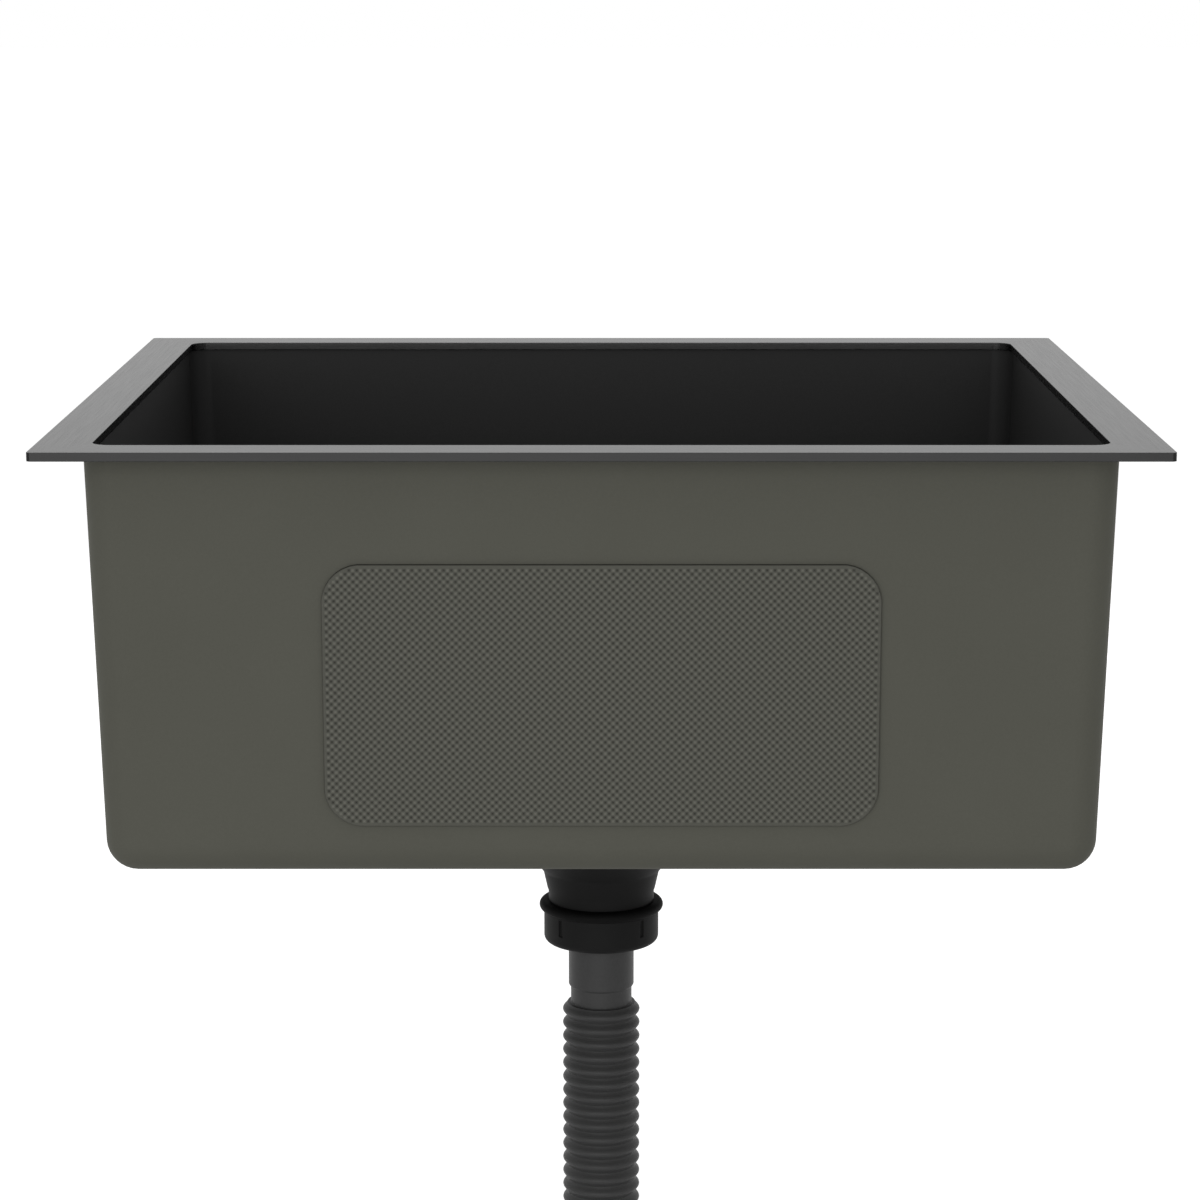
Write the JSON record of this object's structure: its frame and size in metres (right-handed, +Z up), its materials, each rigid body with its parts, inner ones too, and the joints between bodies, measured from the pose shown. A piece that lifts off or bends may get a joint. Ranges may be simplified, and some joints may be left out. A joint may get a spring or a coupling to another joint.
{
  "type": "kitchen sink",
  "caption": "Rectangular single-bowl kitchen sink with a flat rim, coated outside and padded against noise, with a lift-out basket strainer, pull-up plug and ribbed drain hose.",
  "frame": {"origin": "centre of the rim's opening, in the plane of the rim's underside, which rests on the worktop", "axes": "+X to the user's right, -Y towards the user at the front, +Z up"},
  "size_m": [0.5, 0.44, 0.7264],
  "materials": {
    "rim_steel": "satin, dark grey coated steel",
    "bowl_steel": "brushed, near-black coated steel",
    "coating": "matt sprayed coating, fine grain",
    "pad": "matt, fine diamond texture under the coating",
    "strainer_steel": "brushed, near-black coated steel",
    "screw_steel": "plain turned steel",
    "brass": "plain turned brass",
    "seal_rubber": "matt moulded rubber",
    "outlet_plastic": "satin moulded polypropylene",
    "hose_plastic": "satin blow-moulded polyethylene",
    "bush_plastic": "satin moulded acetal"
  },
  "bodies": {
    "sink": {"rim_plate": "rim_steel", "bowl": "bowl_steel", "bowl_coating": "coating", "pad_front": "pad", "pad_rear": "pad", "pad_left": "pad", "pad_right": "pad", "pad_base_left": "pad", "pad_base_right": "pad", "flange_gasket": "seal_rubber", "strainer_dish": "strainer_steel", "body_gasket": "seal_rubber", "outlet_body": "outlet_plastic", "fixing_screw": "screw_steel", "screw_insert": "brass", "joint_ring": "seal_rubber", "union_nut": "outlet_plastic", "hose_washer": "seal_rubber", "drain_hose": "hose_plastic", "hose_end_fitting": "outlet_plastic"},
    "basket": {"basket": "strainer_steel", "stem_bush": "bush_plastic", "stem_o_ring": "seal_rubber"},
    "plug": {"plug_stem": "screw_steel", "plug_seal": "seal_rubber", "plug_knob": "strainer_steel"}
  },
  "joints": [
    {"name": "basket_lift", "type": "slide", "parent": "sink", "child": "basket", "axis": [0, 0, 1], "range_m": [0, 0.24]},
    {"name": "plug_pull", "type": "slide", "parent": "basket", "child": "plug", "axis": [0, 0, 1], "range_m": [0, 0.008]}
  ]
}
